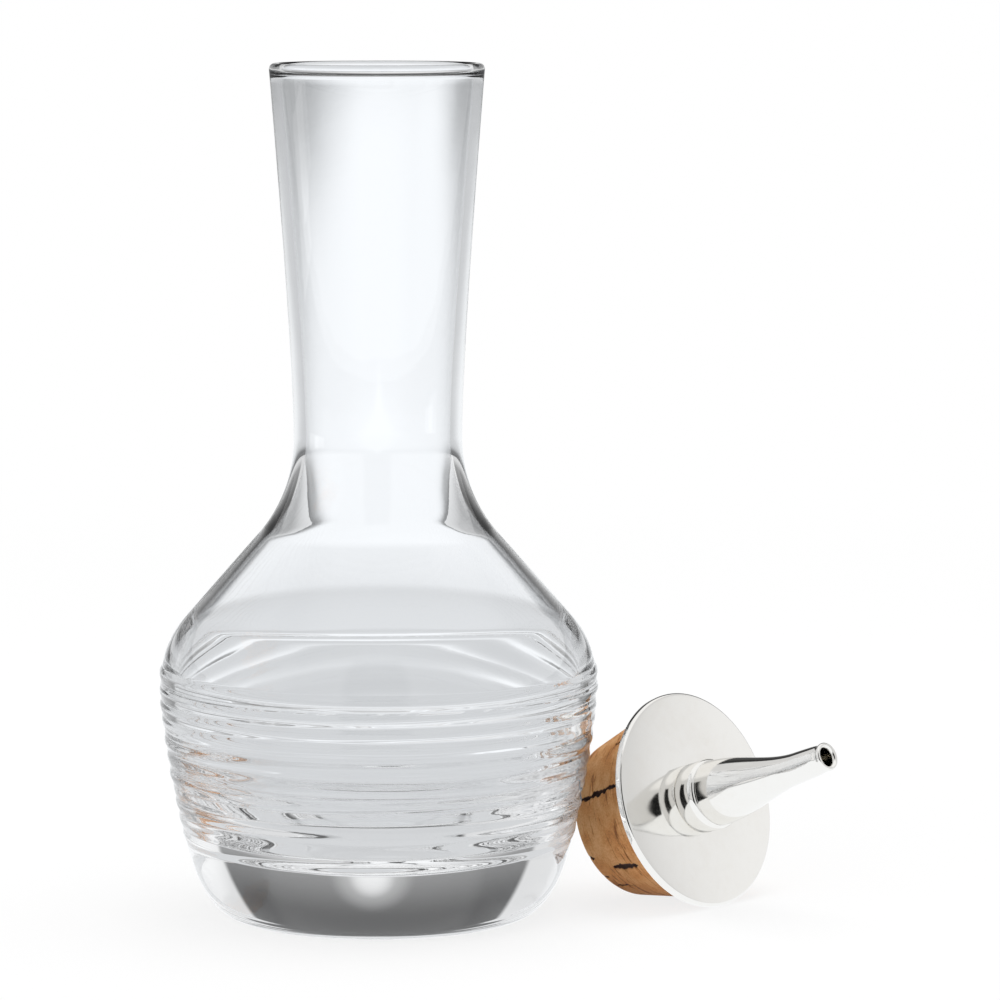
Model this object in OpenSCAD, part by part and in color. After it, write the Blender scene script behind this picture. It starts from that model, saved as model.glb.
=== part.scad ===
// Dash bottle for bitters, with a cork-seated pouring stopper.
// The bottle stands on z = 0 with its axis on Z. The stopper lies on the same surface at its right,
// resting on the rim of its flange and on the end of its cork.

/* [Bottle outside] */
// Height from the table to the top of the lip
bottle_h = 124; // [112:1:140]
// Diameter of the flat that the bottle stands on
foot_d = 41.8; // [36:0.2:46]
// Diameter where the rounded heel meets the side
heel_d = 56.7; // [54:0.1:59]
// Height of that join
heel_h = 11; // [8:0.5:13]
// Width that the heel's curve keeps at table level before it turns up
heel_turn_d = 51.2; // [48:0.2:53]
// Largest diameter of the bulb, without the glass rings
bulb_d = 63.6; // [60:0.2:68]
// Height of that largest diameter
bulb_z = 34.1; // [31:0.1:37]
// Height at which the side below it would turn upright
side_turn_z = 27; // [22:0.5:30]
// Radius of the round between the bulb and the shoulder
shoulder_round = 14.2; // [11:0.1:17]
// Smallest diameter of the neck
waist_d = 24.5; // [21:0.1:27]
// Height of that smallest diameter
waist_z = 69.8; // [66:0.1:76]
// Radius of the hollow round between the shoulder and the neck
waist_round = 21.5; // [17:0.1:24]
// Length of neck above the waist that stays nearly parallel before it flares
neck_straight = 12; // [4:0.5:20]
// Diameter over the lip
lip_d = 31.1; // [28:0.1:34]

/* [Bottle inside] */
// Diameter of the bead that the fire-polished lip has rounded into
lip_bead_d = 1.7; // [1.5:0.05:2.6]
// Wall thickness just under that bead
lip_wall = 1.3; // [1:0.05:1.45]
// Wall thickness at the waist of the neck
neck_wall = 1.75; // [1.2:0.05:2.4]
// Wall thickness at the largest diameter
side_wall = 2.2; // [1.6:0.05:3]
// Radius of the inner round at the shoulder, larger where the glass is thinner
inner_shoulder_round = 16; // [13:0.1:18]
// Radius of the inner hollow at the waist
inner_waist_round = 21; // [18:0.1:23]
// Thickness of solid glass under the middle of the bowl
base_thick = 9.3; // [7:0.1:11]
// Diameter out to which the curve of the bowl's bottom would stay level
bowl_level_d = 42; // [36:0.5:48]
// Height at which the bowl's side would turn upright
bowl_side_z = 18; // [15:0.5:21]

/* [Glass rings] */
// Number of rings wound round the bulb
ring_count = 11; // [3:1:12]
// Height of the top ring
ring_top_z = 35.6; // [34:0.1:37]
// Distance from one ring to the next
ring_pitch = 2.37; // [1.9:0.01:2.4]
// Thickness of the glass thread that makes a ring
ring_thread_d = 2.1; // [1.6:0.05:2.2]
// How far a ring stands out of the side
ring_proud = 0.38; // [0.15:0.01:0.6]
// How far the hand-wound rings stray from even spacing and height
ring_stray = 0.2; // [0:0.01:0.3]

/* [Stopper] */
// Diameter of the metal flange
flange_d = 32.2; // [30:0.1:36]
// Thickness of the flange at its edge
flange_t = 1.4; // [1.1:0.05:2]
// Height that the domed face of the flange gains towards the collar
flange_dome = 0.35; // [0.1:0.05:0.8]
// Rounding of the flange's two edges
flange_edge_r = 0.5; // [0.3:0.05:0.54]
// Diameter of the collar
collar_d = 10.5; // [9.5:0.1:12]
// Height of the collar above the flange
collar_h = 3.55; // [2.5:0.05:6]
// Width of the chamfer round the collar's free end
collar_chamfer = 0.35; // [0.2:0.05:0.5]
// Diameter of the cork under the flange
cork_top_d = 29.2; // [28:0.1:29.8]
// Diameter that the cork tapers to at its end
cork_end_d = 22.8; // [20:0.1:24]
// Length of the cork
cork_l = 13.6; // [11:0.1:16]
// Rounding of the cork's end edge
cork_edge_r = 2.2; // [1:0.1:3]
// Outside diameter of the tube through the cork
stem_d = 5; // [4.2:0.1:6]
// Length of the tube that shows past the end of the cork
stem_proud = 0.8; // [0.3:0.1:2]

/* [Spout] */
// Length of the spout beyond the collar, measured along the stopper's axis
spout_l = 22.4; // [19:0.2:28]
// Diameter of the spout where it leaves the collar
spout_base_d = 9.7; // [8.4:0.1:9.8]
// Length over which it holds on to that width before it narrows
spout_shoulder_l = 6; // [3:0.5:8]
// Length at which the narrowing eases into the slender part
spout_ease_l = 11; // [9:0.5:13]
// Length at which the slender part begins
spout_taper_l = 17; // [14:0.5:18]
// Diameter of the slender part
spout_neck_d = 4.5; // [4:0.05:5]
// Diameter over the rolled lip at the tip
spout_tip_d = 4.2; // [3.8:0.05:5]
// Radius of that lip's roll
spout_roll_r = 0.35; // [0.2:0.05:0.4]
// Diameter of the pouring channel, all the way through the stopper
channel_d = 2.7; // [2:0.05:2.9]
// How far the tip is bent up out of the stopper's axis
spout_rise = 0.65; // [0:0.05:1.5]

/* [Where the stopper lies] */
// Middle of the flange's cork side, across the table to the right of the bottle
stopper_x = 45.9; // [45.9:0.1:60]
// The same point, across the table away from the front
stopper_y = 6.4; // [6.4:0.1:14]
// Direction that the spout points to, turned from +X
stopper_turn = -42.5; // [-60:0.5:-40]

/* [Fits] */
// Gap round the stem tube where it passes a bored piece
stem_gap = 0.05; // [0.02:0.01:0.1]

/* [Hidden] */
$fn = 96;

curve_steps = 14;                 // points along each curve of an outline
glass_colour = [0.82, 0.88, 0.90, 0.45];
cork_colour = [0.76, 0.57, 0.37];
metal_colour = [0.82, 0.81, 0.78];

// ---- curves ---------------------------------------------------------------------------------

// Points on a circle's arc, from angle a0 to angle a1
function arc(centre, r, a0, a1, steps = curve_steps) =
    [for (i = [0:steps]) let (a = a0 + (a1 - a0) * i / steps) centre + r * [cos(a), sin(a)]];

// Points on a curve that leaves p0 towards p1 and arrives at p2 from p1
function bend(p0, p1, p2, steps = curve_steps) =
    [for (i = [0:steps]) let (t = i / steps) bend_at(p0, p1, p2, t)];

function bend_at(p0, p1, p2, t) = (1 - t) * (1 - t) * p0 + 2 * t * (1 - t) * p1 + t * t * p2;

// The same with two turning points, for an S or a fuller round
function bend2(p0, p1, p2, p3, steps = curve_steps) =
    [for (i = [0:steps]) let (t = i / steps)
        (1 - t) * bend_at(p0, p1, p2, t) + t * bend_at(p1, p2, p3, t)];

// Outlines that meet end to start, as one outline that has each shared point once
function joined(lists) = [for (k = [0:len(lists) - 1]) for (i = [k == 0 ? 0 : 1:len(lists[k]) - 1]) lists[k][i]];

// ---- bottle ---------------------------------------------------------------------------------

lip_r = lip_bead_d / 2;
lip_z = bottle_h - lip_r;         // height of the middle of the lip's bead

// Side of the glass from the largest diameter up to the lip, outside or inside: a round shoulder,
// a straight cone tangent to both rounds, a hollow waist and a flaring neck
function upper_side(bulb_r, shoulder_r, waist_r, hollow_r, mouth_r) =
    let (
        dome = [bulb_r - shoulder_r, bulb_z],
        hollow = [waist_r + hollow_r, waist_z],
        across = hollow - dome,
        slope = atan2(across[1], across[0]) + asin((shoulder_r + hollow_r) / norm(across)) - 90
    )
    joined([
        concat(arc(dome, shoulder_r, 0, slope), [hollow - hollow_r * [cos(slope), sin(slope)]]),
        arc(hollow, hollow_r, 180 + slope, 180),
        bend([waist_r, waist_z], [waist_r, waist_z + neck_straight], [mouth_r, lip_z])
    ]);

heel_top = [heel_d / 2, heel_h];
bulb_side = [bulb_d / 2, bulb_z];
side_turn = [bulb_d / 2, side_turn_z];

outside = joined([
    [[0, 0], [foot_d / 2, 0]],
    bend([foot_d / 2, 0], [heel_turn_d / 2, 0], heel_top),
    bend(heel_top, side_turn, bulb_side),
    upper_side(bulb_d / 2, shoulder_round, waist_d / 2, waist_round, lip_d / 2)
]);

inner_bulb_r = bulb_d / 2 - side_wall;
inner_mouth_r = lip_d / 2 - lip_wall;

// The bowl's bottom is one blown curve, level in the middle and upright where it meets the bulb
inside = joined([
    bend2([0, base_thick], [bowl_level_d / 2, base_thick],
          [inner_bulb_r, bowl_side_z], [inner_bulb_r, bulb_z]),
    upper_side(inner_bulb_r, inner_shoulder_round, waist_d / 2 - neck_wall, inner_waist_round,
               inner_mouth_r)
]);

// Radius of the side at a height below the largest diameter, read off the side's curve
function side_r(z) =
    let (
        a = heel_top[1] - 2 * side_turn[1] + bulb_side[1],
        b = 2 * (side_turn[1] - heel_top[1]),
        t = (-b + sqrt(b * b - 4 * a * (heel_top[1] - z))) / (2 * a)
    )
    z >= bulb_z ? sqrt(pow(shoulder_round, 2) - pow(z - bulb_z, 2)) + bulb_d / 2 - shoulder_round
    : bend_at(heel_top, side_turn, bulb_side, t)[0];

module glass_ring(i) {
    stray = ring_stray * sin(i * 150);
    z = ring_top_z - i * ring_pitch + stray;
    proud = ring_proud - abs(stray) / 2;
    translate([side_r(z) + proud - ring_thread_d / 2, z]) circle(d = ring_thread_d);
}

module bottle() {
    color(glass_colour) rotate_extrude() {
        difference() {
            union() {
                polygon(concat(outside, [[0, lip_z]]));
                for (i = [0:ring_count - 1]) glass_ring(i);
            }
            polygon(concat(inside, [[inner_mouth_r, bottle_h + 1], [0, bottle_h + 1]]));
        }
        translate([lip_d / 2 - lip_r, lip_z]) circle(d = lip_bead_d);
    }
}

// ---- stopper, drawn upright with the flange's cork side on z = 0 -----------------------------

stem_hole_r = stem_d / 2 + stem_gap;
collar_z = flange_t + flange_dome;
spout_z = collar_z + collar_h;

// The cork's end edge is a round of cork_edge_r, tangent to the tapered side and to the end
cork_taper = atan2((cork_top_d - cork_end_d) / 2, cork_l);
cork_edge_z = cork_edge_r - cork_l;
cork_edge_at = [cork_top_d / 2 + cork_edge_z * tan(cork_taper) - cork_edge_r / cos(cork_taper),
                cork_edge_z];

// Lying down, the stopper touches the table with the flange's lower edge and the cork's end edge
flange_edge_at = [flange_d / 2 - flange_edge_r, flange_edge_r];
edge_gap = flange_edge_at - cork_edge_at;
lie_tilt = atan2(edge_gap[0], edge_gap[1]) - asin((cork_edge_r - flange_edge_r) / norm(edge_gap));
lie_height = flange_edge_at[0] * cos(lie_tilt) - flange_edge_r * sin(lie_tilt) + flange_edge_r;

// Puts an upright stopper piece where the stopper lies, the side at -X uppermost
module laid_down() {
    translate([stopper_x, stopper_y, lie_height])
        rotate([0, 0, stopper_turn]) rotate([0, 90 - lie_tilt, 0]) children();
}

module cork() {
    color(cork_colour) laid_down() rotate_extrude() polygon(concat(
        [[stem_hole_r, 0], [cork_top_d / 2, 0]],
        arc(cork_edge_at, cork_edge_r, -cork_taper, -90),
        [[stem_hole_r, -cork_l]]
    ));
}

module flange() {
    edge = flange_edge_at[0];
    color(metal_colour) laid_down() rotate_extrude() polygon(concat(
        [[stem_hole_r, 0]],
        arc([edge, flange_edge_r], flange_edge_r, -90, 0, 6),
        arc([edge, flange_t - flange_edge_r], flange_edge_r, 0, 90, 6),
        bend([edge, flange_t], [collar_d, collar_z], [collar_d / 2, collar_z]),
        [[stem_hole_r, collar_z]]
    ));
}

module collar() {
    color(metal_colour) laid_down() rotate_extrude() polygon([
        [stem_hole_r, collar_z],
        [collar_d / 2, collar_z],
        [collar_d / 2, spout_z - collar_chamfer],
        [collar_d / 2 - collar_chamfer, spout_z],
        [stem_hole_r, spout_z]
    ]);
}

// The spout is lofted: each point of this closed outline, [height, radius], becomes one ring
spout_outline = concat(
    bend2([0, spout_base_d / 2], [spout_shoulder_l, spout_base_d / 2],
          [spout_ease_l, spout_neck_d / 2], [spout_taper_l, spout_neck_d / 2], 16),
    [[spout_l - 3 * spout_roll_r, spout_tip_d / 2 - spout_roll_r / 2]],
    arc([spout_l - spout_roll_r, spout_tip_d / 2 - spout_roll_r], spout_roll_r, 90, 0, 4),
    [for (i = [0:6]) [(spout_l - spout_roll_r) * (1 - i / 6), channel_d / 2]]
);
spout_sides = 32;

// The bend grows with the cube of the height, so the spout leaves the collar in line with it
function spout_lift(z) = spout_rise * pow(z / spout_l, 3);
function spout_lean(z) = atan(3 * spout_rise * pow(z / spout_l, 2) / spout_l);

function spout_point(p, turn) =
    let (lean = spout_lean(p[0]), out = p[1] * cos(turn))
    [out * cos(lean) - spout_lift(p[0]), p[1] * sin(turn), p[0] + out * sin(lean)];

module spout() {
    rings = len(spout_outline);
    points = [for (p = spout_outline) for (j = [0:spout_sides - 1]) spout_point(p, 360 * j / spout_sides)];
    faces = [for (i = [0:rings - 1]) for (j = [0:spout_sides - 1])
        let (
            here = i * spout_sides,
            next = (i + 1) % rings * spout_sides,
            side = (j + 1) % spout_sides
        )
        each [[here + j, next + j, next + side], [here + j, next + side, here + side]]];
    color(metal_colour) laid_down() translate([0, 0, spout_z]) polyhedron(points, faces);
}

module stem_tube() {
    color(metal_colour) laid_down() translate([0, 0, -cork_l - stem_proud]) difference() {
        cylinder(d = stem_d, h = cork_l + stem_proud + spout_z);
        translate([0, 0, -1]) cylinder(d = channel_d, h = cork_l + stem_proud + spout_z + 2);
    }
}

bottle();
cork();
flange();
collar();
spout();
stem_tube();
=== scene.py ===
# %% [markdown]
# # A dash bottle and its pouring stopper
# A small clear glass bottle for bitters stands on a table. Its stopper lies beside it: a cork with a
# polished metal flange, collar and spout. Glass has no colour of its own, so most of this lesson is
# about shape: a true wall with an outside and an inside, a thick base, and rings of glass thread that
# bend what is seen through them.
#
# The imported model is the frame. Every piece made here goes where that frame says. Sizes are written in
# millimetres, and they turn into metres when a mesh is made.

# %% Load the frame
import math

import bmesh
import bpy
from mathutils import Matrix, Vector, noise


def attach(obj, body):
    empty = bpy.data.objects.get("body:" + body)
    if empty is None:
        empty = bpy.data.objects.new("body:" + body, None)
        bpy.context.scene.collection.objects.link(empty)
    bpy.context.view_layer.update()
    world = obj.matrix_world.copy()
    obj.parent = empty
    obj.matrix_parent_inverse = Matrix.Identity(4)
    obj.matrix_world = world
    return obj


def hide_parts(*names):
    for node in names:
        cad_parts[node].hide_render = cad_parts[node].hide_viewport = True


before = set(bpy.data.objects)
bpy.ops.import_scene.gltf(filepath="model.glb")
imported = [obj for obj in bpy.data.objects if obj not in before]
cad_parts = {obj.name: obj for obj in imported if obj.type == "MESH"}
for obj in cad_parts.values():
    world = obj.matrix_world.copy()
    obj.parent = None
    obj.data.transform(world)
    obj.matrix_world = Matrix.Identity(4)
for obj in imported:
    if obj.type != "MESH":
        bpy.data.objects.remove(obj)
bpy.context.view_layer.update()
MM = 0.001
print("nodes in the frame:", sorted(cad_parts))

# %% [markdown]
# ## Light through thick glass
# A ray that meets the bottle crosses four surfaces, and in the base and the rings it is mirrored inside
# the glass many times before it gets out. The renderer follows only four mirrorings by itself and
# paints black what it can't follow. Higher limits cost little here, because few rays need them.

# %% Light bounces
GLASS_BOUNCES = 24
MIRROR_BOUNCES = 16

light_paths = bpy.context.scene.cycles
light_paths.max_bounces = GLASS_BOUNCES
light_paths.transmission_bounces = GLASS_BOUNCES
light_paths.glossy_bounces = MIRROR_BOUNCES
print("bounces:", GLASS_BOUNCES, "through glass,", MIRROR_BOUNCES, "off mirrors")

# %% [markdown]
# ## Camera
# A product photograph like this is taken from about 0.7 m with a long lens, a little above the table.
# The long lens keeps the neck and the base in true proportion.

# %% Camera
CAMERA_TARGET = Vector((17.717, 0.0, 60.63)) * MM
CAMERA_DISTANCE = 682.1 * MM
CAMERA_TILT = math.radians(6.68)
LENS, SENSOR = 168.7, 36.0

camera_data = bpy.data.cameras.new("product_camera")
camera_data.lens = LENS
camera_data.sensor_width = SENSOR
camera = bpy.data.objects.new("product_camera", camera_data)
camera_side = Vector((0, -math.cos(CAMERA_TILT), math.sin(CAMERA_TILT)))
camera.location = CAMERA_TARGET + CAMERA_DISTANCE * camera_side
camera.rotation_euler = (math.pi / 2 - CAMERA_TILT, 0, 0)
bpy.context.scene.collection.objects.link(camera)
bpy.context.scene.camera = camera
bpy.context.scene.view_settings.view_transform = "Standard"
print("camera at", [round(c, 3) for c in camera.location])

# %% [markdown]
# ## Small helpers for shader nodes
# A material is a graph. These helpers keep the graphs short: one makes a node with its settings and
# inputs, one does a step of arithmetic, one turns a value into a soft-edged level, and one starts an
# empty material.


# %% Node helpers
def add_node(tree, kind, settings=None, **inputs):
    """Makes a node. An input is a plain value, or another node's output socket, which gets linked.
    Inputs that share a name are given by number: i0 is the first one."""
    node = tree.nodes.new(kind)
    for name, value in (settings or {}).items():
        setattr(node, name, value)
    for name, value in inputs.items():
        socket = node.inputs[int(name[1:])] if name[0] == "i" and name[1:].isdigit() else node.inputs[name]
        if isinstance(value, bpy.types.NodeSocket):
            tree.links.new(value, socket)
        else:
            socket.default_value = value
    return node


def maths(tree, operation, a, b):
    return add_node(tree, "ShaderNodeMath", {"operation": operation}, i0=a, i1=b).outputs[0]


def spread(tree, value, span, levels):
    """Turns a value into a level that eases from levels[0] to levels[1] over the span."""
    ramp = add_node(tree, "ShaderNodeMapRange", {"interpolation_type": "SMOOTHSTEP"}, Value=value)
    for name, number in zip(("From Min", "From Max", "To Min", "To Max"), span + levels):
        ramp.inputs[name].default_value = number
    return ramp.outputs["Result"]


def blank_material(name):
    material = bpy.data.materials.new(name)
    material.use_nodes = True
    material.node_tree.nodes.clear()
    output = material.node_tree.nodes.new("ShaderNodeOutputMaterial")
    return material, material.node_tree, output


WHITE = (1, 1, 1, 1)
print("node helpers ready")

# %% [markdown]
# ### Uneven surface
# Nothing made by hand or worn by use is even. Glass has slow ripples, polished metal a faint haze, and
# cork a cloudy tone with fine specks. All three are one broad pattern with a finer one mixed in, so
# one shader group makes it, and each material sets its own scales.

# %% Shader group for an uneven surface
BROAD_DETAIL, FINE_DETAIL = 2.0, 4.0

uneven = bpy.data.node_groups.new("uneven_surface", "ShaderNodeTree")
uneven.interface.new_socket("Place", in_out="INPUT", socket_type="NodeSocketVector")
for socket_name, usual in (("Broad Scale", 60.0), ("Fine Scale", 400.0), ("Fine Share", 0.3)):
    socket = uneven.interface.new_socket(socket_name, in_out="INPUT", socket_type="NodeSocketFloat")
    socket.default_value = usual
uneven.interface.new_socket("Level", in_out="OUTPUT", socket_type="NodeSocketFloat")
group_in = uneven.nodes.new("NodeGroupInput").outputs
group_out = uneven.nodes.new("NodeGroupOutput")
broad = add_node(uneven, "ShaderNodeTexNoise", Vector=group_in["Place"], Scale=group_in["Broad Scale"],
                 Detail=BROAD_DETAIL)
fine = add_node(uneven, "ShaderNodeTexNoise", Vector=group_in["Place"], Scale=group_in["Fine Scale"],
                Detail=FINE_DETAIL)
mixed = add_node(uneven, "ShaderNodeMix", i0=group_in["Fine Share"],
                 i2=broad.outputs["Fac"], i3=fine.outputs["Fac"])
uneven.links.new(mixed.outputs[0], group_out.inputs["Level"])


def uneven_level(tree, place, broad_scale, fine_scale, fine_share):
    """Places the group in a material. The scales are in patches per unit of place."""
    node = add_node(tree, "ShaderNodeGroup", {"node_tree": uneven}, Place=place)
    node.inputs["Broad Scale"].default_value = broad_scale
    node.inputs["Fine Scale"].default_value = fine_scale
    node.inputs["Fine Share"].default_value = fine_share
    return node.outputs["Level"]


print("shader group:", uneven.name)

# %% [markdown]
# ## Studio
# Clear glass and polished metal only show by what they bend and mirror, so the room is the material.
# This one is a light tent, as used for metal, with two dark openings. The lens looks in through a
# narrow slit, which the metal mirrors as a black band on its collar. Behind the object is a wide
# dark window: it fills the thick base, which bends the sight upwards, and draws the edges of the
# shoulder. World colour by direction is the simplest way to build such a room, since it needs no
# walls and never gets in the way of another camera.

# %% Directions in the room
world = bpy.data.worlds.new("studio")
world.use_nodes = True
bpy.context.scene.world = world
wt = world.node_tree
wt.nodes.clear()
direction = add_node(wt, "ShaderNodeTexCoord").outputs["Generated"]
direction_parts = add_node(wt, "ShaderNodeSeparateXYZ", Vector=direction).outputs
to_side = maths(wt, "ABSOLUTE", direction_parts["X"], 0.0)
to_back, to_sky = direction_parts["Y"], direction_parts["Z"]


def glow(aim, half_width, softness, strength):
    """Light from round one direction: full inside half_width degrees, fading over softness degrees."""
    facing = add_node(wt, "ShaderNodeVectorMath", {"operation": "DOT_PRODUCT"},
                      i0=direction, i1=Vector(aim).normalized())
    edges = (math.cos(math.radians(half_width + softness)), math.cos(math.radians(half_width)))
    return spread(wt, facing.outputs["Value"], edges, (0.0, strength))


def brightest(levels):
    total = levels[0]
    for level in levels[1:]:
        total = maths(wt, "MAXIMUM", level, total)
    return total


print("room directions: X to the side, Y to the back, Z to the sky")

# %% [markdown]
# ### The tent
# The tent's cloth is light all round and brightest where the lamps shine on it from outside: overhead
# and at both sides. Each patch of light is a direction, its half width and softness in degrees, and
# its strength. The cloth shows the brightest of them.

# %% Walls of the tent
TENT = 0.72
TENT_PATCHES = {
    "overhead": ((0.1, 0.2, 1.0), 30, 25, 1.0),
    "right": ((0.905, 0.422, 0.052), 12, 34, 0.95),
    "left": ((-0.9, -0.1, 0.3), 25, 30, 0.90),
}

tent = brightest([TENT] + [glow(*patch) for patch in TENT_PATCHES.values()])
print("tent", TENT, "with patches", ", ".join(TENT_PATCHES))

# %% [markdown]
# ### Behind the window
# The table runs back as a sweep. Its rim catches the light, which leaves a haze on the dark wall above
# it and a small bright spot in the middle. The thick base gathers just these few degrees, so they
# make its soft light spot over dark grey.

# %% The far wall
WINDOW_DARK = 0.035
FAR_WALL_GLOW = ((0.0, 1.0, 0.2), 20, 9, 0.072)
RIM_SPAN, RIM_LIGHT = (-0.02, 0.11), 0.80       # sines of height between which the rim's light ends
HAZE_SPAN, HAZE_LIGHT = (0.0, 0.29), 0.26
SPOT_AIM = (0.0, 1.0, 0.096)
SPOT_CORE = (0, 5, 0.35)                        # half width, softness in degrees, strength
SPOT_HALO = (0, 9, 0.25)

far_wall = brightest([WINDOW_DARK, glow(*FAR_WALL_GLOW)])
haze_light = spread(wt, to_sky, HAZE_SPAN, (HAZE_LIGHT, 0.0))
for light in (haze_light, glow(SPOT_AIM, *SPOT_CORE), glow(SPOT_AIM, *SPOT_HALO)):
    far_wall = maths(wt, "ADD", far_wall, light)
behind = brightest([far_wall, spread(wt, to_sky, RIM_SPAN, (RIM_LIGHT, 0.0))])
print("far wall", WINDOW_DARK, "under a rim of", RIM_LIGHT)

# %% [markdown]
# ### Two openings
# An opening is a mask over the directions: its side edges are planes through the object, and its top
# edge is a height. The window narrows towards its top. The slit is left out for rays that come out of
# glass, because its mirror image would draw a grey bar down the middle of the clear neck.

# %% Window and slit
WINDOW_SIDE, WINDOW_LEAN = 0.95, 0.45           # tangent of its half width, and how fast that narrows
WINDOW_TOP, WINDOW_TOP_SOFT = 0.70, 0.06        # sine of its height
WINDOW_SIDE_SOFT = (-0.05, 0.03)
SLIT_SIDE = 0.36
SLIT_TOP, SLIT_TOP_SOFT = 0.81, 0.02
SLIT_SIDE_SOFT = (-0.08, 0.02)
SLIT_DARK = 0.012


def opening(past_edge, side_soft, top, top_soft):
    """A mask that is 1 where past_edge is below zero and the height is below the top."""
    below_top = spread(wt, to_sky, (top - top_soft, top + top_soft), (1.0, 0.0))
    return maths(wt, "MULTIPLY", below_top, spread(wt, past_edge, side_soft, (1.0, 0.0)))


def opened(wall, mask, view):
    """The wall, with the view through it where the mask is 1."""
    return add_node(wt, "ShaderNodeMix", i0=mask, i2=wall, i3=view).outputs[0]


path = add_node(wt, "ShaderNodeLightPath").outputs
narrowing = maths(wt, "MULTIPLY", maths(wt, "MAXIMUM", to_sky, 0.0), WINDOW_LEAN)
window_edge = maths(wt, "SUBTRACT", maths(wt, "MULTIPLY", to_back, WINDOW_SIDE), narrowing)
window = opening(maths(wt, "SUBTRACT", to_side, window_edge), WINDOW_SIDE_SOFT, WINDOW_TOP, WINDOW_TOP_SOFT)
past_slit = maths(wt, "ADD", to_side, maths(wt, "MULTIPLY", to_back, SLIT_SIDE))
slit = opening(past_slit, SLIT_SIDE_SOFT, SLIT_TOP, SLIT_TOP_SOFT)
slit = maths(wt, "MULTIPLY", slit, maths(wt, "SUBTRACT", 1.0, path["Is Transmission Ray"]))
room = opened(opened(tent, window, behind), slit, SLIT_DARK)
print("window", WINDOW_SIDE, "and slit", SLIT_SIDE, "wide, as tangents of half their width")

# %% [markdown]
# The camera itself sees a plain white page behind the object, and only bent and mirrored rays see the
# room. Light Path tells the two apart.

# %% World output
studio_light = add_node(wt, "ShaderNodeBackground", Color=WHITE, Strength=room)
white_page = add_node(wt, "ShaderNodeBackground", Color=WHITE, Strength=1.0)
sky = add_node(wt, "ShaderNodeMixShader", i0=path["Is Camera Ray"],
               i1=studio_light.outputs[0], i2=white_page.outputs[0])
add_node(wt, "ShaderNodeOutputWorld", Surface=sky.outputs[0])
print("world made with", len(wt.nodes), "nodes")

# %% [markdown]
# ### Table
# The table is one wide disc. A plane would do as well, but a round edge is equally far in every view.

# %% Table top
TABLE_RADIUS = 12.0                     # metres
TABLE_TURNS = 96
TABLE_DROP = 0.02 * MM                  # keeps it from touching the foot

table_mesh = bpy.data.meshes.new("table")
disc = bmesh.new()
bmesh.ops.create_circle(disc, cap_ends=True, segments=TABLE_TURNS, radius=TABLE_RADIUS)
disc.to_mesh(table_mesh)
disc.free()
table = bpy.data.objects.new("table", table_mesh)
bpy.context.scene.collection.objects.link(table)
table.location.z = -TABLE_DROP
print("table", TABLE_RADIUS, "m in radius")

# %% [markdown]
# ### What the table looks like
# The camera sees the table white, with a soft shadow close to the object that fades out before it
# could draw a horizon. Glass and metal see it as a table lit in the middle: it dims towards the back,
# to both sides, and most in the far corners, which is what shades the sides of the neck. Close to
# the object glass sees it a little darker, where the object itself takes light away.

# %% Light on the table, in metres from the object and strengths
FADES_BACK, BACK_LIGHT = (2.0, 7.0), (1.0, 0.55)
SIDE_FALL, SIDE_LIGHT = (0.10, 0.45), (1.04, 0.62)
FAR_SIDE_FALL, FAR_SIDE_LIGHT = (0.45, 1.3), (1.0, 0.6)
CORNER_SIDE, CORNER_BACK, CORNER_DIM = (0.08, 0.32), (0.9, 2.1), (0.0, 0.43)
NEAR_FALL, NEAR_DIM = (0.08, 0.60), (0.36, 0.0)
LIT_TINT = (0.97, 0.985, 1.0, 1)

table_material, tt, table_out = blank_material("pale_table")
table_mesh.materials.append(table_material)
place = add_node(tt, "ShaderNodeTexCoord").outputs["Object"]
reach = add_node(tt, "ShaderNodeVectorMath", {"operation": "LENGTH"}, i0=place).outputs["Value"]
aside = maths(tt, "ABSOLUTE", add_node(tt, "ShaderNodeSeparateXYZ", Vector=place).outputs["X"], 0.0)
rays = add_node(tt, "ShaderNodeLightPath").outputs

near_dim = maths(tt, "MULTIPLY", rays["Is Transmission Ray"], spread(tt, reach, NEAR_FALL, NEAR_DIM))
corners = maths(tt, "MULTIPLY", spread(tt, aside, CORNER_SIDE, (0.0, 1.0)),
                spread(tt, reach, CORNER_BACK, CORNER_DIM))
table_light = spread(tt, reach, FADES_BACK, BACK_LIGHT)
for share in (
    spread(tt, aside, SIDE_FALL, SIDE_LIGHT),
    spread(tt, aside, FAR_SIDE_FALL, FAR_SIDE_LIGHT),
    maths(tt, "SUBTRACT", 1.0, near_dim),
    maths(tt, "SUBTRACT", 1.0, corners),
):
    table_light = maths(tt, "MULTIPLY", table_light, share)
lit_top = add_node(tt, "ShaderNodeEmission", Color=LIT_TINT, Strength=table_light)
print("table light from", BACK_LIGHT[0], "to", BACK_LIGHT[1], "at the back")

# %% Table for the camera, and the mix
TABLE_COLOUR = (0.86, 0.86, 0.86, 1)
NEAR_WHITE = 0.82                       # share of the white near the object that no shadow darkens
SHADOW_FADES = (0.22, 0.55)             # metres over which the table turns plain white

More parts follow.
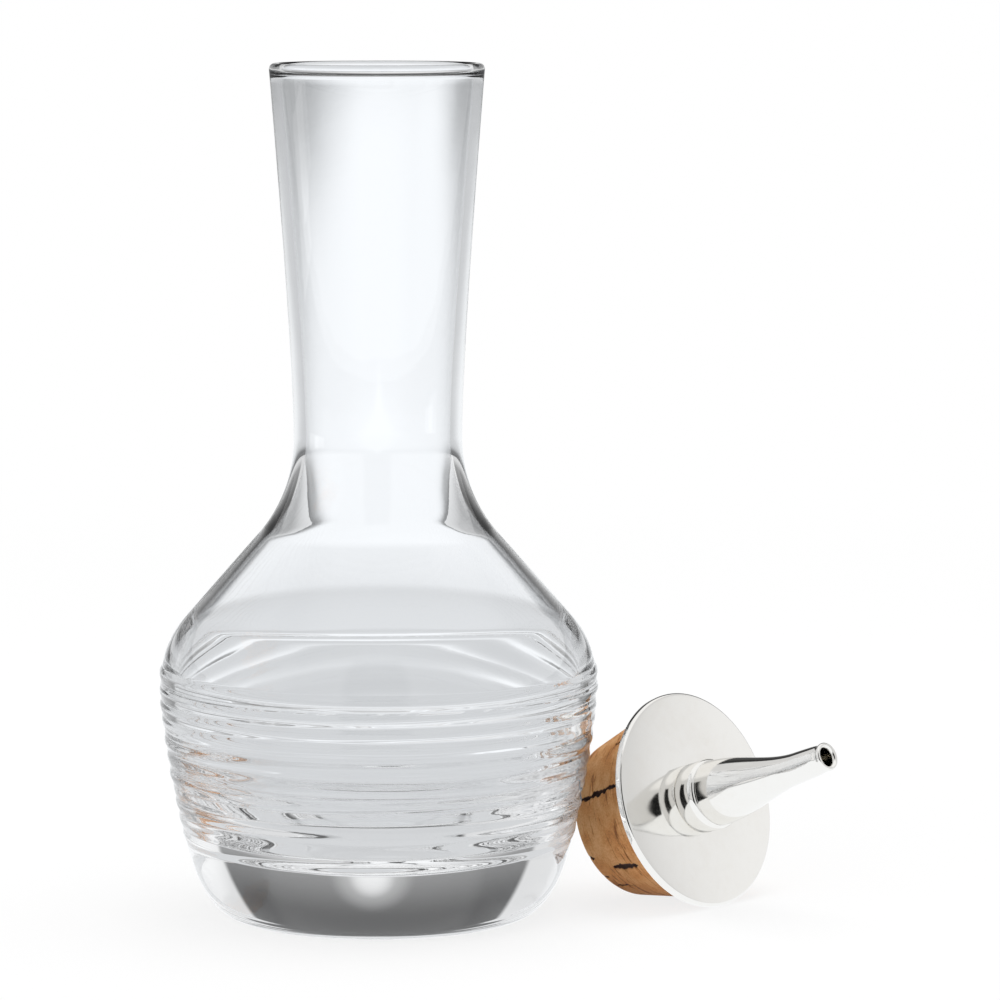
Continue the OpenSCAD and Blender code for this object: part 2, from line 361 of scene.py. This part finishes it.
paint = add_node(tt, "ShaderNodeBsdfDiffuse", Color=TABLE_COLOUR)
page = add_node(tt, "ShaderNodeEmission", Color=WHITE, Strength=1.0)
white_share = maths(tt, "MULTIPLY", rays["Is Camera Ray"],
                    spread(tt, reach, SHADOW_FADES, (NEAR_WHITE, 1.0)))
for_camera = add_node(tt, "ShaderNodeMixShader", i0=white_share, i1=paint.outputs[0], i2=page.outputs[0])
bent_rays = maths(tt, "MAXIMUM", rays["Is Glossy Ray"], rays["Is Transmission Ray"])
bent_share = maths(tt, "MULTIPLY", bent_rays, maths(tt, "SUBTRACT", 1.0, rays["Is Camera Ray"]))
table_mix = add_node(tt, "ShaderNodeMixShader", i0=bent_share, i1=for_camera.outputs[0],
                     i2=lit_top.outputs[0])
tt.links.new(table_mix.outputs[0], table_out.inputs["Surface"])
print("table material made")

# %% [markdown]
# ### Lamps
# The tent is even, so cork would look flat in it. Two softboxes give it a light side and a shaded
# side: one overhead, one at the front left. Glass and metal don't mirror them, because the tent
# already gives them their lights. A small card low at the left lights up one edge of the glass.


# %% Lamps
def soft_lamp(name, place, aim, size, watts):
    data = bpy.data.lights.new(name, "AREA")
    data.shape = "RECTANGLE"
    data.size, data.size_y = size
    data.energy = watts
    lamp = bpy.data.objects.new(name, data)
    lamp.location = place
    lamp.rotation_euler = (Vector(aim) - Vector(place)).to_track_quat("-Z", "Y").to_euler()
    bpy.context.scene.collection.objects.link(lamp)
    return lamp


overhead = soft_lamp("overhead_softbox", place=(0.1, 0.1, 0.9), aim=(0.02, 0, 0.03),
                     size=(0.7, 0.7), watts=4.0)
front = soft_lamp("front_left_softbox", place=(-0.6, -0.6, 0.45), aim=(0, 0, 0.03),
                  size=(0.5, 0.5), watts=2.2)
soft_lamp("low_card_left", place=(-0.60, 0.06, -0.01), aim=(0, 0, 0.11), size=(0.20, 0.10), watts=0.05)
for lamp in (overhead, front):
    lamp.visible_glossy = False
    lamp.visible_transmission = False

# %% [markdown]
# ## Outlines
# The bottle is blown and turned, and so are the stopper's pieces, so each is an outline spun round an
# axis. The outline is made of arcs and of bends: a bend leaves its first point towards the second
# and arrives at the last from the one before it.


# %% Curves of an outline
def arc(centre, radius, start, end, steps):
    angles = [math.radians(start + (end - start) * i / steps) for i in range(steps + 1)]
    return [Vector((centre[0] + radius * math.cos(a), centre[1] + radius * math.sin(a))) for a in angles]


def bend(points, steps):
    """A smooth curve through the first and last point, drawn towards the ones between."""
    curve = []
    for i in range(steps + 1):
        level = [Vector(p) for p in points]
        while len(level) > 1:
            level = [a.lerp(b, i / steps) for a, b in zip(level, level[1:])]
        curve.append(level[0])
    return curve


SAME_POINT = 1e-6


def joined(*parts):
    """Parts of an outline one after another, with no point doubled where they meet."""
    outline = list(parts[0])
    for part in parts[1:]:
        outline += part[1:] if (part[0] - outline[-1]).length < SAME_POINT else part
    return outline


def resample(outline, step):
    """The same outline with points no further apart than step."""
    fine_outline = [outline[0]]
    for a, b in zip(outline, outline[1:]):
        count = max(1, math.ceil((b - a).length / step))
        fine_outline += [a.lerp(b, i / count) for i in range(1, count + 1)]
    return fine_outline


print("outline helpers ready")

# %% [markdown]
# ### From outline to mesh
# Blender's Screw modifier can spin an outline too. Making the rows of points here instead lets a
# function move each point on its way, and that is how the rings wander round the glass and how the
# spout bends.


# %% Spin an outline into a mesh
def turned(row, r, z, angle):
    """The place of a point of a plain turned piece. It is the same for every row of the outline."""
    return Vector((r * math.cos(angle), r * math.sin(angle), z))


def spun_mesh(name, outline, turns, place=turned):
    """Spins [radius, height] points, in mm, round Z. An outline from axis to axis closes by itself, and
    any other is closed into a ring. place(row, radius, height, angle) says where each point goes."""
    shape = bmesh.new()
    rows = []
    for row, (r, z) in enumerate(outline):
        if r < SAME_POINT:
            rows.append([shape.verts.new(place(row, 0.0, z, 0.0) * MM)] * turns)
        else:
            angles = [2 * math.pi * k / turns for k in range(turns)]
            rows.append([shape.verts.new(place(row, r, z, angle) * MM) for angle in angles])
    pairs = list(zip(rows, rows[1:]))
    if outline[0][0] > SAME_POINT:
        pairs.append((rows[-1], rows[0]))
    for low, high in pairs:
        for k in range(turns):
            corners = [low[k], low[(k + 1) % turns], high[(k + 1) % turns], high[k]]
            unique = [v for i, v in enumerate(corners) if v not in corners[:i]]
            if len(unique) > 2:
                shape.faces.new(unique)
    bmesh.ops.recalc_face_normals(shape, faces=shape.faces)
    result = bpy.data.meshes.new(name)
    shape.to_mesh(result)
    shape.free()
    for polygon in result.polygons:
        polygon.use_smooth = True
    piece = bpy.data.objects.new(name, result)
    bpy.context.scene.collection.objects.link(piece)
    print(name, "has", len(result.polygons), "faces")
    return piece


# %% [markdown]
# ## Glass bottle
# The outside has a flat foot, a rounded heel, a side that swells to the bulb, a round shoulder, a
# straight cone, a hollow waist and a neck that flares to a full-round lip. The inside follows it at
# a wall that is thin at the shoulder and thick at the base, as blown glass is. A Solidify modifier
# would give an even wall, and an even wall doesn't bend light like this one.

# %% Sizes of the glass
BOTTLE_H = 124.0
BULB_R, BULB_Z, SHOULDER_R = 31.8, 34.1, 14.2
WAIST_R, WAIST_Z, HOLLOW_R = 12.25, 69.8, 21.5
LIP_R, LIP_BEAD, RIM_WALL = 15.55, 1.7, 1.3
FOOT_R, HEEL_TURN_R, HEEL_R, HEEL_Z = 20.9, 25.6, 28.35, 11.0
SIDE_TURN_Z = 27.0
SIDE_WALL, NECK_WALL = 2.2, 1.75
INNER_SHOULDER_R, INNER_HOLLOW_R = 16.0, 20.4
BASE_THICK, BOWL_LEVEL_R, BOWL_SIDE_Z = 9.3, 21.0, 18.0
NECK_STRAIGHT = 12.0
LIP_Z = BOTTLE_H - LIP_BEAD / 2
INNER_BULB_R = BULB_R - SIDE_WALL
print("glass", BOTTLE_H, "mm high and", 2 * BULB_R, "mm across")


# %% Outline of the glass
def upper_side(bulb_r, shoulder_r, waist_r, hollow_r, mouth_r):
    """From the largest diameter up to the lip: shoulder round, tangent cone, waist hollow, neck."""
    dome = Vector((bulb_r - shoulder_r, BULB_Z))
    hollow = Vector((waist_r + hollow_r, WAIST_Z))
    across = hollow - dome
    between = math.atan2(across.y, across.x)
    slope = math.degrees(between + math.asin((shoulder_r + hollow_r) / across.length)) - 90
    return joined(
        arc(dome, shoulder_r, 0, slope, steps=24),
        arc(hollow, hollow_r, 180 + slope, 180, steps=30),
        bend([(waist_r, WAIST_Z), (waist_r, WAIST_Z + NECK_STRAIGHT), (mouth_r, LIP_Z)], steps=40),
    )


outside = joined(
    [Vector((0, 0)), Vector((FOOT_R, 0))],
    bend([(FOOT_R, 0), (HEEL_TURN_R, 0), (HEEL_R, HEEL_Z)], steps=24),
    bend([(HEEL_R, HEEL_Z), (BULB_R, SIDE_TURN_Z), (BULB_R, BULB_Z)], steps=24),
    upper_side(BULB_R, SHOULDER_R, WAIST_R, HOLLOW_R, LIP_R),
)
inside = joined(
    bend([(0, BASE_THICK), (BOWL_LEVEL_R, BASE_THICK), (INNER_BULB_R, BOWL_SIDE_Z),
          (INNER_BULB_R, BULB_Z)], steps=72),
    upper_side(INNER_BULB_R, INNER_SHOULDER_R, WAIST_R - NECK_WALL, INNER_HOLLOW_R, LIP_R - RIM_WALL),
)
bead_under = math.degrees(math.acos(1 - 2 * (LIP_BEAD - RIM_WALL) / LIP_BEAD))
lip = arc((LIP_R - LIP_BEAD / 2, LIP_Z), LIP_BEAD / 2, 0, 180 + bead_under, steps=28)
print("outline:", len(outside), "points outside,", len(inside), "inside")

# %% [markdown]
# ### Rings of glass thread
# Hot glass thread was wound round the bulb and fused to it. No two rings are alike: each wanders up
# and down a little, swells and thins, and some run into their neighbour. Two slow waves per ring
# give that, without any random numbers.

# %% Rings
RING_HEIGHTS = [35.7, 33.2, 30.8, 28.9, 25.9, 23.1, 20.7, 18.9, 16.6, 14.2, 12.0]
RING_PROUD = [0.27, 0.23, 0.22, 0.18, 0.23, 0.20, 0.22, 0.16, 0.21, 0.17, 0.15]
RING_HALF_WIDTH = 1.12
RING_WANDER = 0.28
RING_ROUNDNESS = 1.2                # 1 is a half wave, and more makes the ring's foot softer
RING_MARGIN = 2.5
RINGS_BELOW, RINGS_ABOVE = RING_HEIGHTS[-1] - RING_MARGIN, RING_HEIGHTS[0] + RING_MARGIN


def ring_height(i, angle):
    slow = math.sin(angle + 2.1 * i)
    quick = math.sin(2 * angle + 1.3 * i + 0.7)
    return RING_HEIGHTS[i] + RING_WANDER * (0.7 * slow + 0.4 * quick)


def ring_swell(i, angle):
    return RING_PROUD[i] * (1 + 0.18 * math.sin(3 * angle + 1.9 * i) + 0.12 * math.sin(7 * angle + 2.7 * i))


def ring_bump(z, angle):
    """How far the rings push the outside out at this height and angle."""
    best = 0.0
    for i in range(len(RING_HEIGHTS)):
        off = (z - ring_height(i, angle)) / RING_HALF_WIDTH
        if abs(off) < 1:
            best = max(best, ring_swell(i, angle) * math.cos(off * math.pi / 2) ** RING_ROUNDNESS)
    return best


print("rings:", len(RING_HEIGHTS), "between", RINGS_BELOW, "and", RINGS_ABOVE, "mm")

# %% [markdown]
# ### One closed wall
# Glass must be one closed mesh with its inside drawn the other way, so that a ray knows when it is in
# the glass and when in the air of the bowl. So one outline runs from the middle of the foot up the
# outside, over the lip and down the bore to the middle of the bowl. Only the stretch with the rings
# needs very fine rows.

# %% Make the bottle
RING_ROW_STEP, BORE_ROW_STEP = 0.22, 0.5
BOTTLE_TURNS = 240
LIP_CLEAR = 0.05

below_rings = [p for p in outside if p.y <= RINGS_BELOW]
wound_part = resample([p for p in outside if RINGS_BELOW < p.y < RINGS_ABOVE], RING_ROW_STEP)
above_rings = [p for p in outside if p.y >= RINGS_ABOVE]
bore = [p for p in reversed(resample(inside, BORE_ROW_STEP)) if p.y < lip[-1].y - LIP_CLEAR]
wound_rows = range(len(below_rings), len(below_rings) + len(wound_part))


def wound_glass(row, r, z, angle):
    """Only the wound rows of the outside have rings. The inside stays smooth."""
    return turned(row, r + ring_bump(z, angle) if row in wound_rows else r, z, angle)


bottle_outline = joined(below_rings, wound_part, above_rings, lip, bore)
bottle = spun_mesh("glass_bottle", bottle_outline, BOTTLE_TURNS, wound_glass)
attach(bottle, "bottle")
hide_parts("bottle")

# %% [markdown]
# ### Clear glass
# Fire-polished glass is perfectly smooth, so its roughness is zero, but blowing leaves slow ripples
# that make a mirrored edge waver. Modelling them would need a far finer mesh, so the uneven surface
# drives a weak bump. The faint blue is what shows in the thick base.

# %% Glass material
GLASS_TINT = (0.985, 0.992, 1.0, 1)
GLASS_IOR = 1.5

glass, gt, glass_out = blank_material("clear_glass")
glass_place = add_node(gt, "ShaderNodeTexCoord").outputs["Object"]
ripple = uneven_level(gt, glass_place, broad_scale=70.0, fine_scale=260.0, fine_share=0.12)
glass_bump = add_node(gt, "ShaderNodeBump", Strength=0.06, Distance=0.0004, Height=ripple)
glass_shader = add_node(gt, "ShaderNodeBsdfPrincipled", Normal=glass_bump.outputs["Normal"])
glass_shader.inputs["Base Color"].default_value = GLASS_TINT
glass_shader.inputs["Roughness"].default_value = 0.0
glass_shader.inputs["IOR"].default_value = GLASS_IOR
glass_shader.inputs["Transmission Weight"].default_value = 1.0
gt.links.new(glass_shader.outputs[0], glass_out.inputs["Surface"])
bottle.data.materials.append(glass)
print("glass material with IOR", GLASS_IOR)

# %% [markdown]
# ## Where the stopper lies
# The stopper is drawn upright, flange side down on z = 0, then laid on the table. It touches with the
# flange's lower edge and the cork's end edge, so its tilt follows from the two radii and the length.

# %% Stopper sizes and its place
FLANGE_R, FLANGE_T, FLANGE_DOME, FLANGE_EDGE = 16.1, 1.4, 0.35, 0.5
COLLAR_R, COLLAR_H, COLLAR_CHAMFER = 5.25, 3.55, 0.35
CORK_TOP_R, CORK_END_R, CORK_L, CORK_EDGE = 14.6, 11.4, 13.6, 2.2
STEM_R, STEM_GAP, STEM_PROUD, STEM_CHAMFER = 2.5, 0.05, 0.8, 0.2
CHANNEL_R = 1.35
STOPPER_X, STOPPER_Y, STOPPER_TURN = 45.9, 6.4, -42.5

BORE_R = STEM_R + STEM_GAP
COLLAR_Z = FLANGE_T + FLANGE_DOME
SPOUT_Z = COLLAR_Z + COLLAR_H
taper = math.atan2(CORK_TOP_R - CORK_END_R, CORK_L)
cork_edge_z = CORK_EDGE - CORK_L
cork_edge = Vector((CORK_TOP_R + cork_edge_z * math.tan(taper) - CORK_EDGE / math.cos(taper), cork_edge_z))
flange_edge = Vector((FLANGE_R - FLANGE_EDGE, FLANGE_EDGE))
between_edges = flange_edge - cork_edge
lie_tilt = math.atan2(between_edges.x, between_edges.y)
lie_tilt -= math.asin((CORK_EDGE - FLANGE_EDGE) / between_edges.length)
lie_height = flange_edge.x * math.cos(lie_tilt) - FLANGE_EDGE * math.sin(lie_tilt) + FLANGE_EDGE
LAID_DOWN = (Matrix.Translation(Vector((STOPPER_X, STOPPER_Y, lie_height)) * MM)
             @ Matrix.Rotation(math.radians(STOPPER_TURN), 4, "Z")
             @ Matrix.Rotation(math.pi / 2 - lie_tilt, 4, "Y"))
print("stopper tilt", round(math.degrees(lie_tilt), 2), "height", round(lie_height, 2), "mm")


def lay_down(piece, slot, *nodes):
    piece.data.transform(LAID_DOWN)
    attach(piece, "stopper")
    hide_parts(*nodes)
    return piece


# %% [markdown]
# ## Metal pieces
# Polished metal shows every facet, so the flange, collar, spout and stem tube are spun again here with
# many fine steps and a soft radius on each edge.
#
# ### Flange
# The flange is a thin pressed disc that would cover the lip. Its face rises a little towards the
# collar, and its rim is rounded on both sides, because a sharp rim would cut the hand.

# %% Flange
FLANGE_TURNS = 192

flange_outline = joined(
    [Vector((BORE_R, 0.0)), Vector((FLANGE_R - FLANGE_EDGE, 0.0))],
    arc(flange_edge, FLANGE_EDGE, -90, 0, steps=8),
    arc((FLANGE_R - FLANGE_EDGE, FLANGE_T - FLANGE_EDGE), FLANGE_EDGE, 0, 90, steps=8),
    bend([(FLANGE_R - FLANGE_EDGE, FLANGE_T), (2 * COLLAR_R, COLLAR_Z), (COLLAR_R, COLLAR_Z)], steps=24),
    [Vector((COLLAR_R, COLLAR_Z)), Vector((BORE_R, COLLAR_Z))],
)
flange = lay_down(spun_mesh("flange_disc", flange_outline, FLANGE_TURNS), "polished_metal", "flange")

# %% [markdown]
# ### Collar
# The collar is a short ring that carries the spout. Where it is soldered to the flange a hairline
# groove stays, which gives the line that parts the collar from its own mirror image.

# %% Collar
COLLAR_TURNS = 128
SOLDER_LINE = 0.14                  # depth and height of the groove

collar_outline = [Vector(point) for point in (
    (BORE_R, COLLAR_Z), (COLLAR_R - SOLDER_LINE, COLLAR_Z), (COLLAR_R, COLLAR_Z + SOLDER_LINE),
    (COLLAR_R, SPOUT_Z - COLLAR_CHAMFER), (COLLAR_R - COLLAR_CHAMFER, SPOUT_Z), (BORE_R, SPOUT_Z),
)]
collar = lay_down(spun_mesh("collar_ring", collar_outline, COLLAR_TURNS), "polished_metal", "collar")

# %% [markdown]
# ### Spout
# The spout is drawn from a tube: a shoulder, a long taper and a small rolled lip round the channel.
# It is drawn lying, along X, where a curve by its length is easier to read, then spun. Its tip lifts
# a little, so each ring of points is moved sideways and leans square to the bent axis.

# %% Spout
SPOUT_TURNS = 96
SPOUT_ROW_STEP = 0.5
SPOUT_L, SPOUT_BASE_R, SPOUT_NECK_R, SPOUT_TIP_R = 22.4, 4.85, 2.25, 2.1
SPOUT_SHOULDER, SPOUT_EASE, SPOUT_TAPER = 6.0, 11.0, 17.0
SPOUT_ROLL, SPOUT_THROAT, SPOUT_RISE = 0.35, 0.1, 0.65

spout_outline = joined(
    bend([(0, SPOUT_BASE_R), (SPOUT_SHOULDER, SPOUT_BASE_R), (SPOUT_EASE, SPOUT_NECK_R),
          (SPOUT_TAPER, SPOUT_NECK_R)], steps=48),
    bend([(SPOUT_TAPER, SPOUT_NECK_R), (SPOUT_L - 4 * SPOUT_ROLL, SPOUT_NECK_R - SPOUT_THROAT),
          (SPOUT_L - 3 * SPOUT_ROLL, SPOUT_TIP_R - SPOUT_ROLL / 2)], steps=8),
    arc((SPOUT_L - SPOUT_ROLL, SPOUT_TIP_R - SPOUT_ROLL), SPOUT_ROLL, 90, 0, steps=8),
    [Vector((SPOUT_L - SPOUT_ROLL, CHANNEL_R)), Vector((0, CHANNEL_R))],
)
spout_rows = [(point.y, point.x) for point in resample(spout_outline, SPOUT_ROW_STEP)]


def bent(row, r, z, angle):
    """The axis rises with the cube of the length, and each ring leans with it. All rows are alike."""
    along = z / SPOUT_L
    lean = math.atan(3 * SPOUT_RISE * along ** 2 / SPOUT_L)
    out = r * math.cos(angle)
    return Vector((out * math.cos(lean) - SPOUT_RISE * along ** 3, r * math.sin(angle),
                   SPOUT_Z + z + out * math.sin(lean)))


spout = lay_down(spun_mesh("pouring_spout", spout_rows, SPOUT_TURNS, bent), "polished_metal", "spout")

# %% [markdown]
# ### Stem tube
# The tube runs from the cork's end up to the spout and feeds it. Only its end shows, a bright ring in
# the end of the cork.

# %% Stem tube
STEM_TURNS = 64
STEM_END_Z = -CORK_L - STEM_PROUD

stem_outline = [Vector(point) for point in (
    (CHANNEL_R, STEM_END_Z), (STEM_R - STEM_CHAMFER, STEM_END_Z), (STEM_R, STEM_END_Z + STEM_CHAMFER),
    (STEM_R, SPOUT_Z), (CHANNEL_R, SPOUT_Z),
)]
stem = lay_down(spun_mesh("stem_tube_bright", stem_outline, STEM_TURNS), "polished_metal", "stem_tube")

# %% [markdown]
# ### Polished metal
# Bright plate is a mirror with a warm grey tone. Handling leaves a haze: patches that mirror less
# sharply and are a little more yellow. The uneven surface drives both, and a very weak bump stands
# for the marks of the buffing wheel.

# %% Metal material
HAZE_ROUGHNESS = (0.045, 0.13)
BRIGHT, TARNISHED = (0.90, 0.89, 0.865, 1), (0.86, 0.835, 0.79, 1)
TARNISH_MOST = 0.5

metal, mt, metal_out = blank_material("polished_metal")
metal_place = add_node(mt, "ShaderNodeTexCoord").outputs["Object"]
haze = uneven_level(mt, metal_place, broad_scale=90.0, fine_scale=700.0, fine_share=0.4)
haze_rough = spread(mt, haze, (0.35, 0.70), HAZE_ROUGHNESS)
tarnish = add_node(mt, "ShaderNodeMix", {"data_type": "RGBA"}, i6=BRIGHT, i7=TARNISHED,
                   i0=spread(mt, haze, (0.40, 0.75), (0.0, TARNISH_MOST)))
buffing = add_node(mt, "ShaderNodeBump", Strength=0.02, Distance=0.0002, Height=haze)
metal_shader = add_node(mt, "ShaderNodeBsdfPrincipled", Roughness=haze_rough,
                        Normal=buffing.outputs["Normal"], **{"Base Color": tarnish.outputs[2]})
metal_shader.inputs["Metallic"].default_value = 1.0
mt.links.new(metal_shader.outputs[0], metal_out.inputs["Surface"])
for piece in (flange, collar, spout, stem):
    piece.data.materials.append(metal)
print("metal material on 4 pieces")

# %% [markdown]
# ## Cork
# The cork is a plug turned from bark, tapered to fit the neck, with a rounded end edge and a bore for
# the stem tube. Its pores are to be carved, and a displacement texture would need an unwrapped
# surface, so it is spun with very fine rows and turns instead and its own points are moved.

# %% Cork body
CORK_TURNS = 480
CORK_ROW_STEP = 0.25

cork_outline = joined(
    [Vector((BORE_R, 0.0)), Vector((CORK_TOP_R, 0.0))],
    arc(cork_edge, CORK_EDGE, -math.degrees(taper), -90, steps=10),
    [Vector((cork_edge.x, -CORK_L)), Vector((BORE_R, -CORK_L))],
)
cork = spun_mesh("cork_plug", resample(cork_outline, CORK_ROW_STEP), CORK_TURNS)

# %% [markdown]
# ### Lenticels
# The dark marks are lenticels, the pores of the bark. They run along this cork from end to end and are
# real pits, up to half a millimetre deep, so they are carved into the mesh. Each is one line of the
# list: where it lies round the cork in degrees, from which height to which, and its half width. The
# same depth is kept on the mesh as an attribute, from which the material darkens the pits.

# %% Carve the lenticels
LENTICELS = [
    (-108.5, -13.0, -0.6, 0.50), (-57.0, -8.8, -2.8, 0.70), (-66.0, -13.3, -11.6, 0.35),
    (-48.0, -13.2, -11.4, 0.32), (-37.0, -12.2, -8.4, 0.30), (-15.0, -6.5, -1.5, 0.45),
    (22.0, -10.5, -3.0, 0.45), (48.0, -4.0, -1.0, 0.30), (75.0, -12.8, -6.5, 0.50),
    (103.0, -5.5, -0.8, 0.40), (131.0, -11.5, -7.5, 0.35), (152.0, -8.0, -1.2, 0.55),
    (-167.0, -12.5, -5.0, 0.45), (-140.0, -4.5, -1.2, 0.30), (-128.0, -12.4, -10.2, 0.30),
]
PIT_DEPTH = 0.45
RAGGED = 0.30                       # how far a pit's edge strays, in mm
RAGGED_PER_MM, SWELLS_PER_MM = 0.9, 1.6
THINNEST_PIT = 0.05


def pit_share(point, lenticel):
    """How deep a point of the side lies in a pit, from 0 at its edge to 1 in its middle."""
    around, low, high, half_width = lenticel
    along = (2 * point.z - low - high) / (high - low)
    if abs(along) >= 1:
        return 0.0
    turn = (math.atan2(point.y, point.x) - math.radians(around) + math.pi) % (2 * math.pi) - math.pi
    stray = RAGGED * noise.noise(Vector((around, 0.0, RAGGED_PER_MM * point.z)))
    swell = 0.75 + 0.7 * noise.noise(Vector((0.0, around, SWELLS_PER_MM * point.z)))
    width = half_width * (1 - along ** 4) * swell
    across = abs(turn * point.xy.length - stray) / max(width, THINNEST_PIT)
    return max(0.0, 1 - across ** 2)


pits = cork.data.attributes.new("pit", "FLOAT", "POINT")
for vertex in cork.data.vertices:
    spot = vertex.co / MM
    if spot.xy.length > CORK_END_R - CORK_EDGE:
        deepest = max(pit_share(spot, lenticel) for lenticel in LENTICELS)
        pits.data[vertex.index].value = deepest
        vertex.co.xy *= 1 - PIT_DEPTH * deepest / spot.xy.length
lay_down(cork, "natural_cork", "cork")
print("cork has", len(LENTICELS), "lenticels")

# %% [markdown]
# ### Cork material
# Natural cork is warm tan with paler and darker clouds. Its growth rings show on the side as fine
# curved lines that run round it, and the pits are dark brown. The pattern must follow the cork's own
# axis, though the cork lies tilted, so a Mapping node of type Texture first stands it upright again.

# %% Cork pattern
LINE_STRETCH = (0.22, 0.22, 1.9)    # growth lines are long round the cork and fine along it
LINE_DETAIL, LINE_WANDER = 5.0, 0.5
LINE_DARKENS, LINE_SINKS = 0.30, 0.8

cork_material, ct, cork_out = blank_material("natural_cork")
lying = add_node(ct, "ShaderNodeTexCoord").outputs["Object"]
stand_up = add_node(ct, "ShaderNodeMapping", {"vector_type": "TEXTURE"}, Vector=lying,
                    Location=LAID_DOWN.to_translation(), Rotation=LAID_DOWN.to_euler(), Scale=(MM, MM, MM))
upright = stand_up.outputs["Vector"]
clouds = uneven_level(ct, upright, broad_scale=0.35, fine_scale=3.5, fine_share=0.45)
flattened = add_node(ct, "ShaderNodeVectorMath", {"operation": "MULTIPLY"}, i0=upright, i1=LINE_STRETCH)
growth = add_node(ct, "ShaderNodeTexNoise", Vector=flattened.outputs[0], Scale=1.0,
                  Detail=LINE_DETAIL, Distortion=LINE_WANDER)
growth_lines = spread(ct, growth.outputs["Fac"], (0.46, 0.30), (0.0, 1.0))
shade = maths(ct, "SUBTRACT", clouds, maths(ct, "MULTIPLY", growth_lines, LINE_DARKENS))
relief = maths(ct, "SUBTRACT", clouds, maths(ct, "MULTIPLY", growth_lines, LINE_SINKS))
print("cork pattern stands upright by", [round(math.degrees(a), 1) for a in LAID_DOWN.to_euler()])

# %% Cork colour and surface
CORK_DARK, CORK_DARK_AT = (0.36, 0.125, 0.032, 1), 0.20
CORK_MID, CORK_MID_AT = (0.72, 0.31, 0.095, 1), 0.42
CORK_LIGHT, CORK_LIGHT_AT = (0.90, 0.51, 0.23, 1), 0.62
PIT_BROWN = (0.035, 0.012, 0.006, 1)
PIT_EDGE = (0.28, 0.62)             # between these depths the colour turns from cork to pit
CORK_ROUGHNESS = (0.70, 0.92)

tone = add_node(ct, "ShaderNodeValToRGB", Fac=shade)
stops = tone.color_ramp.elements
stops[0].position, stops[0].color = CORK_DARK_AT, CORK_DARK
stops[1].position, stops[1].color = CORK_LIGHT_AT, CORK_LIGHT
stops.new(CORK_MID_AT).color = CORK_MID
pit = add_node(ct, "ShaderNodeAttribute", {"attribute_name": "pit"}).outputs["Fac"]
pit_dark = spread(ct, maths(ct, "ADD", pit, maths(ct, "MULTIPLY", clouds, 0.4)), PIT_EDGE, (0.0, 1.0))
cork_paint = add_node(ct, "ShaderNodeMix", {"data_type": "RGBA"}, i0=pit_dark, i6=tone.outputs["Color"],
                      i7=PIT_BROWN)
cork_bump = add_node(ct, "ShaderNodeBump", Strength=0.5, Distance=0.00025, Height=relief)
cork_shader = add_node(ct, "ShaderNodeBsdfPrincipled", Normal=cork_bump.outputs["Normal"],
                       Roughness=spread(ct, clouds, (0.3, 0.7), CORK_ROUGHNESS),
                       **{"Base Color": cork_paint.outputs[2]})
ct.links.new(cork_shader.outputs[0], cork_out.inputs["Surface"])
cork.data.materials.append(cork_material)
print("cork material made")
